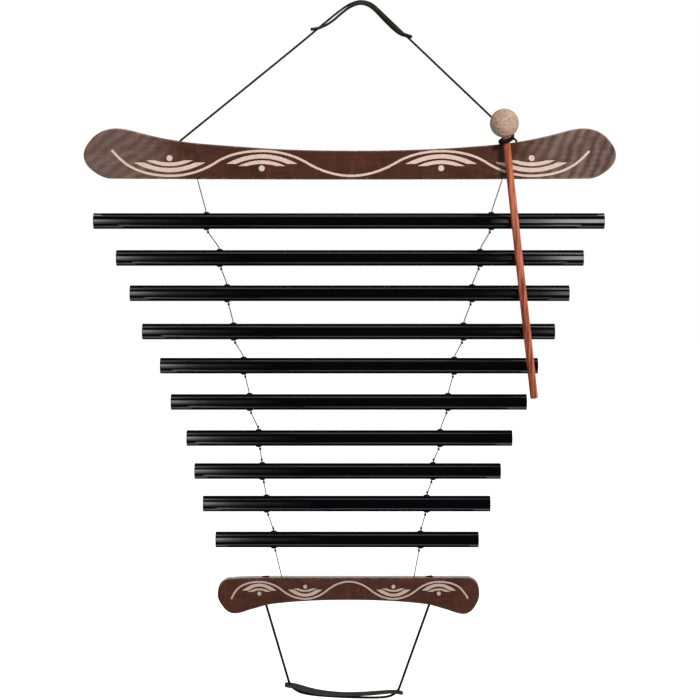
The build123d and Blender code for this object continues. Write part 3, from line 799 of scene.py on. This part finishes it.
# %% [markdown]
# ## Helpers for materials
# Colours are written as sRGB hex values, as a paint chart gives them, and one function turns
# them to the linear values that shaders work in. One small function adds any node, and the rest
# are short names for the nodes that come back often. Patterns read Object coordinates, which
# are metres here, so a pattern whose cells are so many millimetres wide has 1 / (cell·mm) of
# them in a unit.

# %% Material helpers
wave_repeat = 0.31


def linear(hex_colour):
    """An sRGB hex colour as linear red, green, blue and alpha."""
    parts = [int(hex_colour[i:i + 2], 16) / 255 for i in (1, 3, 5)]
    return (*[c / 12.92 if c <= 0.04045 else ((c + 0.055) / 1.055) ** 2.4 for c in parts], 1.0)


def feed(tree, made, inputs):
    """Sets a node's inputs, by name or number, to values or to sockets."""
    for key, value in inputs.items():
        if isinstance(value, bpy.types.NodeSocket):
            tree.links.new(value, made.inputs[key])
        else:
            made.inputs[key].default_value = value


def node(tree, kind, settings=None, inputs=None):
    """Adds a node. Settings are its own properties, and inputs are as feed takes them."""
    made = tree.nodes.new(kind)
    for name, value in (settings or {}).items():
        setattr(made, name, value)
    feed(tree, made, inputs or {})
    return made


def mapped(tree, place, turn=0.0, cells=(1000, 1000, 1000)):
    """Coordinates with one unit to a cell of so many millimetres, turned about y by degrees."""
    scale = [1 / (cell * mm) for cell in cells]
    turning = (0, math.radians(turn), 0)
    return node(tree, "ShaderNodeMapping", inputs={0: place, "Rotation": turning, "Scale": scale}).outputs[0]


def noise(tree, place, cell=1000, detail=2.0, roughness=0.5):
    """Cloudy noise with cells of so many millimetres."""
    inputs = {"Vector": place, "Scale": 1 / (cell * mm), "Detail": detail, "Roughness": roughness}
    return node(tree, "ShaderNodeTexNoise", inputs=inputs).outputs[0]


def mixed(tree, share, first, second):
    """Two colours, as hex values or sockets: the first where share is 0, the second where it is 1."""
    first, second = [linear(c) if isinstance(c, str) else c for c in (first, second)]
    return node(tree, "ShaderNodeMix", {"data_type": "RGBA"}, {0: share, 6: first, 7: second}).outputs[2]


def between(tree, share, first, second):
    """Two numbers mixed in the same way."""
    return node(tree, "ShaderNodeMix", {"data_type": "FLOAT"}, {0: share, 2: first, 3: second}).outputs[0]


def ranged(tree, value, low, high, to_low=0.0, to_high=1.0, smooth=False):
    """A value that goes from to_low to to_high while the given one goes from low to high."""
    inputs = {"Value": value, "From Min": low, "From Max": high, "To Min": to_low, "To Max": to_high}
    settings = {"interpolation_type": "SMOOTHSTEP" if smooth else "LINEAR"}
    return node(tree, "ShaderNodeMapRange", settings, inputs).outputs[0]


def reckoned(tree, operation, *values):
    """A sum on numbers, such as MULTIPLY_ADD."""
    return node(tree, "ShaderNodeMath", {"operation": operation}, dict(enumerate(values))).outputs[0]


def scaled(tree, colour, factor):
    """A colour times a number."""
    inputs = {0: colour, "Scale": factor}
    return node(tree, "ShaderNodeVectorMath", {"operation": "SCALE"}, inputs).outputs[0]


def bumped(tree, height, strength, depth):
    """A bump of so many millimetres."""
    inputs = {"Strength": strength, "Distance": depth * mm, "Height": height}
    return node(tree, "ShaderNodeBump", inputs=inputs).outputs[0]


def material(name):
    """A new material with its tree, its shader and its Object coordinates."""
    made = bpy.data.materials.new(name)
    made.use_nodes = True
    tree = made.node_tree
    shader = tree.nodes["Principled BSDF"]
    place = node(tree, "ShaderNodeTexCoord").outputs["Object"]
    return made, tree, shader, place


def dress(pieces, finish):
    """Gives pieces one finish."""
    for piece in pieces:
        piece.data.materials.clear()
        piece.data.materials.append(finish)


print("white in linear light", linear("#FFFFFF")[:3])

# %% [markdown]
# ## Oiled dark hardwood
# The bars are a dark stained hardwood. Long pores run along the bar, a curly figure crosses the
# greyer ends at a slant, steeper on the right, a few rusty streaks show in the middle, and the
# edges are rubbed through to orange brown. The curl's bands are 10 mm apart, as in the
# photograph. Real pores are finer than the 2 mm drawn here, which is two pixels of it.
# The grey of the ends is partly the wood's own colour and partly a painted sheen.

# %% Hardwood finish
wood, tree, shader, place = material("oiled_dark_hardwood")
parts = node(tree, "ShaderNodeSeparateXYZ", inputs={0: place})
from_middle = reckoned(tree, "SUBTRACT", parts.outputs[0], chime_middle * mm)
right_side = reckoned(tree, "GREATER_THAN", from_middle, 0.0)
cloud = noise(tree, place, 22.222, 5.0, 0.6)

# Where the grey ends begin: 200 to 290 mm from the middle, with a ragged border. Their grey is partly the
# wood's own and partly a painted sheen.
ragged = reckoned(tree, "MULTIPLY_ADD", cloud, 120 * mm, reckoned(tree, "ABSOLUTE", from_middle))
ends = ranged(tree, ragged, 200 * mm, 290 * mm, smooth=True)

# The curly figure: slanting bands broken up by stretched patches, fainter on the left.
figure_at = node(tree, "ShaderNodeMix", {"data_type": "VECTOR"},
                 {0: right_side, 4: mapped(tree, place, -52), 5: mapped(tree, place, -25)}).outputs[1]
curl = node(tree, "ShaderNodeTexWave", {"bands_direction": "X", "wave_profile": "SIN"},
            {"Vector": figure_at, "Scale": wave_repeat / (10 * mm), "Distortion": 5.2, "Detail": 4.0,
             "Detail Scale": 0.6, "Detail Roughness": 0.7})
patches = noise(tree, mapped(tree, figure_at, 0, (10.526, 25, 35.714)), 1000, 4.0, 0.6)
broken = between(tree, 0.5, curl.outputs[1], ranged(tree, patches, 0.3, 0.7))
figure = between(tree, right_side, ranged(tree, broken, 0, 1, 0.25, 0.8), broken)

middle_tone = mixed(tree, cloud, "#371D15", "#563022")
# The end tones hold a painted sheen on top of the wood's grey figure.
end_tone_with_painted_sheen = mixed(tree, figure, "#422C25", "#7C665D")
both = mixed(tree, ends, middle_tone, end_tone_with_painted_sheen)

# Pores darken and lighten the tone, and the lower bar is a shade darker.
pores = noise(tree, mapped(tree, place, 0, (16.667, 2, 2.381)), 1000, 5.0, 0.6)
fine = ranged(tree, pores, 0.3, 0.7, 0.78, 1.2)
board = ranged(tree, parts.outputs[2], -500 * mm, -300 * mm, 0.97)
toned = scaled(tree, both, reckoned(tree, "MULTIPLY", fine, board))

# Steep grey and rusty streaks.
streak = noise(tree, mapped(tree, place, 8, (5.263, 16.667, 33.333)), 1000, 3.0, 0.55)
greyed = mixed(tree, ranged(tree, streak, 0.52, 0.72, 0, 0.2), toned, "#43403F")
rusty = mixed(tree, ranged(tree, streak, 0.42, 0.28, 0, 0.3), greyed, "#6B3A28")

# The rounded edges are rubbed through, more so at the ends.
wear_and_glow = node(tree, "ShaderNodeAttribute", {"attribute_name": "wear_and_glow"})
rub = reckoned(tree, "MULTIPLY_ADD", ends, 0.1, noise(tree, place, 3.3333, 5.0, 0.7))
rubbed = reckoned(tree, "MULTIPLY", wear_and_glow.outputs["Fac"], rub)
final = mixed(tree, ranged(tree, rubbed, 0.5, 0.66, 0, 0.7), rusty, "#9C6A4A")
feed(tree, shader, {"Base Color": final, "Roughness": 0.4, "IOR": 1.45,
                    "Normal": bumped(tree, pores, 0.25, 0.4)})
dress((upper_wood, lower_wood), wood)
print("hardwood nodes", len(tree.nodes))

# %% [markdown]
# ## Pale inlay
# The lines are a matt, warm off-white with a slight mottle, so they look like filled or printed
# wood and not like paint in a gloss. On the lower bar they are dimmer, as the photograph shows.

# %% Pale inlay finish
inlay_paint, tree, shader, place = material("pale_printed_inlay")
tone = mixed(tree, noise(tree, place, 4.1667, 4.0), "#BFA595", "#D6BFB0")
parts = node(tree, "ShaderNodeSeparateXYZ", inputs={0: place})
board = ranged(tree, parts.outputs[2], -500 * mm, -300 * mm, 0.7)
feed(tree, shader, {"Base Color": scaled(tree, tone, board), "Roughness": 0.6})
dress(inlays, inlay_paint)
print("inlay nodes", len(tree.nodes))

# %% [markdown]
# ## Black polished tube
# The anodised tube is almost black, and what the eye sees is its reflections. Its oxide layer
# mirrors like lacquer, so it isn't set as metal. The roughness is low, with a faint streak along
# the drawn tube: drawing lines are far finer than the 1 mm cells drawn here.

# %% Tube finish
black_tube, tree, shader, place = material("black_anodised_aluminium")
drawn = noise(tree, mapped(tree, place, 0, (166.667, 1.1111, 1.1111)), 1000, 3.0)
feed(tree, shader, {"Base Color": mixed(tree, drawn, "#040405", "#08080A"),
                    "Roughness": ranged(tree, drawn, 0, 1, 0.1, 0.14), "IOR": 1.5})
dress(tubes, black_tube)
print("tube nodes", len(tree.nodes))

# %% [markdown]
# ## Rubber, cord and thread
# Rubber gives the eye a matt grey black that sets the grommets off from the gloss of the tubes.
# The cord is waxed cotton, and its strands show as a fine slant on its round. The thread is
# greyer, and its knots are a little darker and shinier, because they are pulled tight.

# %% Rubber, cord and thread finishes
rubber, tree, shader, place = material("black_rubber")
tone = mixed(tree, noise(tree, place, 0.55556), "#121211", "#242321")
feed(tree, shader, {"Base Color": tone, "Roughness": 0.6})
dress(grommets, rubber)


def stranded(name, dark, light, spacing, roughness):
    """A twisted cord: fine slanting bands, their spacing in millimetres, over a soft mottle."""
    made, tree, shader, place = material(name)
    slant = node(tree, "ShaderNodeMapping", inputs={0: place, "Rotation": (0.6, 0.5, 0.7)}).outputs[0]
    bands = node(tree, "ShaderNodeTexWave", {"bands_direction": "DIAGONAL"},
                 {"Vector": slant, "Scale": wave_repeat / (spacing * mm), "Distortion": 1.5,
                  "Detail": 2.0}).outputs[1]
    feed(tree, shader, {"Base Color": mixed(tree, bands, dark, light), "Roughness": roughness,
                        "Normal": bumped(tree, bands, 0.5, 0.2)})
    return made


waxed = stranded("waxed_cotton_cord", "#130F0E", "#262020", 0.7, 0.65)
nylon = stranded("twisted_nylon_thread", "#2B2826", "#403B38", 0.4, 0.7)
thread_black = stranded("knotted_nylon_thread", "#1A1918", "#33312F", 0.4, 0.5)
dress((hanger_cord, handle_cord, upper_ends, lower_ends, upper_knots, lower_knots), waxed)
dress(threads, nylon)
dress(small_knots, thread_black)
print("pieces with a cord finish", 6 + len(threads) + len(small_knots))

# %% [markdown]
# ## Leather
# Bridle leather gives a dark brown that is softer than the cord's black, with a fine pebble of
# about 1 mm and a slow mottle where hands have greased it.

# %% Leather finish
hide, tree, shader, place = material("dark_bridle_leather")
pebble = node(tree, "ShaderNodeTexVoronoi", inputs={"Vector": place, "Scale": 1 / (1.1111 * mm)})
tone = mixed(tree, noise(tree, place, 11.111, 5.0), "#201E1B", "#3A3430")
feed(tree, shader, {"Base Color": tone, "Roughness": 0.58,
                    "Normal": bumped(tree, pebble.outputs[0], 0.4, 0.2)})
dress((hanger_leather, handle_leather), hide)
print("leather nodes", len(tree.nodes))

# %% [markdown]
# ## Cork and rubber ball
# Ground cork gives a pale, dry and speckled ball. Its crumbs are 1 to 2 mm across, each with a
# tone of its own, and the rubber between them shows as dark specks.

# %% Cork and rubber ball
cork, tree, shader, place = material("ground_cork_and_rubber")
crumbs = node(tree, "ShaderNodeTexVoronoi", inputs={"Vector": place, "Scale": 1 / (1.6129 * mm)})
crumb_tone = node(tree, "ShaderNodeSeparateColor", inputs={0: crumbs.outputs["Color"]}).outputs[0]
speck = noise(tree, place, 1.78571, 4.0, 0.65)
base = mixed(tree, crumb_tone, "#987D6B", "#BFA28D")
tone = mixed(tree, ranged(tree, speck, 0.5, 0.66, 0, 0.6), base, "#6E5546")
feed(tree, shader, {"Base Color": tone, "Roughness": 0.85, "Normal": bumped(tree, speck, 0.5, 0.3)})
dress([ball], cork)
print("ball nodes", len(tree.nodes))

# %% [markdown]
# ## Rod and elastic
# The rod is a reddish hardwood with a long grain, 2.4 mm wide and 70 mm long, along its lean, and an orange
# strip along its right side. The elastic is shinier than the cord, so that the loop's two strands stand
# apart.

# %% Rod and elastic finishes
rosewood, tree, shader, place = material("reddish_turned_hardwood")
lean = -math.degrees(rod_lean)
grain = noise(tree, mapped(tree, place, lean, (2.381, 2.381, 71.4286)), 1000, 6.0, 0.65)
tone = mixed(tree, ranged(tree, grain, 0.4, 0.58), "#6A2E20", "#BC6A4E")
# An orange strip along the rod's right side, 1.6 to 3.4 mm across from its axis.
across = node(tree, "ShaderNodeVectorMath", {"operation": "DOT_PRODUCT"}, {0: place, 1: rod_across})
axis_at = float(ball_centre @ rod_across)
orange_right_strip = ranged(tree, across.outputs["Value"], (axis_at + 1.637) * mm, (axis_at + 3.437) * mm,
                 0, 0.75, smooth=True)
feed(tree, shader, {"Base Color": mixed(tree, orange_right_strip, tone, "#C8642F"), "Roughness": 0.4,
                    "Normal": bumped(tree, grain, 0.2, 0.3)})
dress([rod], rosewood)

elastic, tree, shader, place = material("glossy_black_elastic")
tone = mixed(tree, noise(tree, place, 1.42857), "#0C0C0C", "#1C1B1A")
feed(tree, shader, {"Base Color": tone, "Roughness": 0.3})
dress([loop], elastic)
print("rod axis across its lean, in millimetres", round(axis_at, 2))

# %% [markdown]
# ## Floor, world and lamps
# The chime hangs over a pale floor in an even, soft light, and the camera sees white behind it.
# What the tubes mirror is another room: dark in front, white behind the chime, and two bright
# strips nearly overhead and underfoot, which draw the thin lines along each tube. The directions
# of the world are unit vectors, so a height of 0.94 is 70 degrees up. A weak lamp behind the
# chime lights the edges of the bars alone.

# %% Studio
white = (1, 1, 1, 1)
floor_level, floor_half, floor_back = -810.0, 6000.0, 9000.0
floor_sides = [[(x, y, floor_level) for y in (-floor_half, floor_back)] for x in (-floor_half, floor_half)]
floor = surface("floor", [np.array(floor_sides)])
floor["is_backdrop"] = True
paint, tree, shader, place = material("pale_studio_floor")
ray = node(tree, "ShaderNodeLightPath")
feed(tree, shader, {"Base Color": linear("#DCDCDC"), "Roughness": 0.9, "Emission Color": white,
                    "Emission Strength": reckoned(tree, "MULTIPLY", ray.outputs["Is Camera Ray"], 0.85)})
unseen = node(tree, "ShaderNodeBsdfTransparent")
either = node(tree, "ShaderNodeMixShader",
              inputs={0: ray.outputs["Is Glossy Ray"], 1: shader.outputs[0], 2: unseen.outputs[0]})
feed(tree, tree.nodes["Material Output"], {"Surface": either.outputs[0]})
dress([floor], paint)

world = bpy.data.worlds.new("studio")
scene.world = world
world.use_nodes = True
tree = world.node_tree
tree.nodes.clear()
way = node(tree, "ShaderNodeTexCoord").outputs["Generated"]
parts = node(tree, "ShaderNodeSeparateXYZ", inputs={0: way})
steepness = reckoned(tree, "ABSOLUTE", parts.outputs[2])
rising = ranged(tree, steepness, 0.915, 0.94, 0, 1.2, smooth=True)
falling = ranged(tree, steepness, 0.992, 0.998, 1, 0, smooth=True)
behind = ranged(tree, parts.outputs[1], 0.9, 0.97, 0, 0.85, smooth=True)
room = reckoned(tree, "ADD", reckoned(tree, "MULTIPLY", rising, falling), behind)
ray = node(tree, "ShaderNodeLightPath")
fill = between(tree, ray.outputs["Is Glossy Ray"], 0.45, room)
seen = between(tree, ray.outputs["Is Camera Ray"], fill, 1.0)
sky = node(tree, "ShaderNodeBackground", inputs={"Color": white, "Strength": seen})
node(tree, "ShaderNodeOutputWorld", inputs={"Surface": sky.outputs[0]})


def soft_box(name, place, target, size, power):
    """A rectangular soft lamp that faces a target. Places and sizes are in metres here."""
    data = bpy.data.lights.new(name, "AREA")
    data.shape = "RECTANGLE"
    data.size, data.size_y = size
    data.energy = power
    lamp = bpy.data.objects.new(name, data)
    lamp.location = place
    facing = np.array(place) - np.array(target)
    lamp.rotation_euler = (
        math.acos(facing[2] / np.linalg.norm(facing)),
        0,
        math.atan2(facing[1], facing[0]) + math.pi / 2,
    )
    scene.collection.objects.link(lamp)
    return lamp


chime_centre = (0, 0, -0.35)
key = soft_box("key_lamp", (2.7, -4.2, 1.45), chime_centre, (0.9, 0.9), 240)
key.visible_glossy = False
soft_box("top_lamp", (0.0, 0.1, 1.5), chime_centre, (1.8, 0.6), 12)
rim = soft_box("rim_lamp", (0.0, 1.6, -0.25), (0, 0, -0.58), (1.2, 0.5), 3.5)
rim.visible_camera = False
lit_by_rim = bpy.data.collections.new("lit_by_rim")
for piece in (upper_wood, lower_wood):
    lit_by_rim.objects.link(piece)
rim.light_linking.receiver_collection = lit_by_rim
scene.view_settings.view_transform = "Standard"

# %% [markdown]
# ## Cards that the tubes' ends mirror
# The photograph shows grey and white bands on the ends of the tubes, where they mirror lamps
# that stand close by. A small card in front of each left end, and of the upper four right ends,
# stands for them, and only mirrored rays see it. Its light is a table: inward is how far from
# the tube's end a spot is mirrored, in millimetres, and light is how bright it is there. A fall
# is pairs of an angle above the line of sight, in degrees, and the share of the light that is
# left at it.

# %% Cards
glow, tree, shader, place = material("white_studio_card")
# Each card is a painted glow that stands in for a lamp. Its strength per point rides in the same per-point
# number that holds the bars' edge wear.
strength = node(tree, "ShaderNodeAttribute", {"attribute_name": "wear_and_glow"}).outputs["Fac"]
feed(tree, shader, {"Base Color": linear("#000000"), "Emission Color": white, "Emission Strength": strength})
inward = np.array([-6, 0, 3, 8, 15, 25, 40, 60, 90, 115], float)
left_light = [5.0, 5.0, 4.6, 3.5, 2.4, 1.3, 0.6, 0.4, 0.12, 0.0]
right_light = [
    [9.0, 9.0, 9.5, 9.5, 9.0, 8.5, 7.2, 4.2, 1.8, 0.0],
    [6.8, 6.8, 6.8, 6.8, 6.6, 4.1, 1.5, 0.6, 0.12, 0.0],
    [2.8, 2.8, 2.7, 2.0, 1.3, 0.65, 0.45, 0.2, 0.05, 0.0],
    [0.8, 0.8, 0.8, 0.65, 0.45, 0.3, 0.2, 0.1, 0.0, 0.0],
]
left_fall = [(29, 1.0), (5, 1.0), (-9, 0.66), (-23, 0.39), (-38, 0.2), (-52, 0.0)]
right_fall = [(33, 0.8), (20, 1.0), (-25, 1.0), (-36, 0.6)]
card_gap = 12.0
card_depth = np.full(len(inward), -tube_radius - card_gap)
cards = [(i, -1, left_light, left_fall) for i in range(10)]
cards += [(i, 1, light, right_fall) for i, light in enumerate(right_light)]
for i, side, light, fall in cards:
    end_x = chime_middle + tube_drifts[i] + side * tube_lengths[i] / 2
    spots = end_x - side * inward
    seen_x = spots + (spots - camera_x) * card_gap / camera_distance
    sight = math.atan2(camera_height - heights[i], camera_distance)
    levels = [heights[i] + card_gap * math.tan(sight + math.radians(rise)) for rise, share in fall]
    grid = np.stack([np.stack([seen_x, card_depth, np.full(len(inward), z)], -1) for z in levels])
    glowing = np.outer([share for rise, share in fall], light)
    card = surface(f"card_{i + 1:02d}_{'left' if side < 0 else 'right'}", [grid], wear_and_glow=glowing)
    card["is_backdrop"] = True
    dress([card], glow)
    card.visible_camera = False
    card.visible_diffuse = False
    card.visible_shadow = False
    card.visible_transmission = False
print("cards", len(cards))

# %% [markdown]
# ## Sizes
# The box of the dressed chime is printed.

# %% Sizes
low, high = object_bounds()
print("visual box", [round(v, 4) for v in low], [round(v, 4) for v in high])
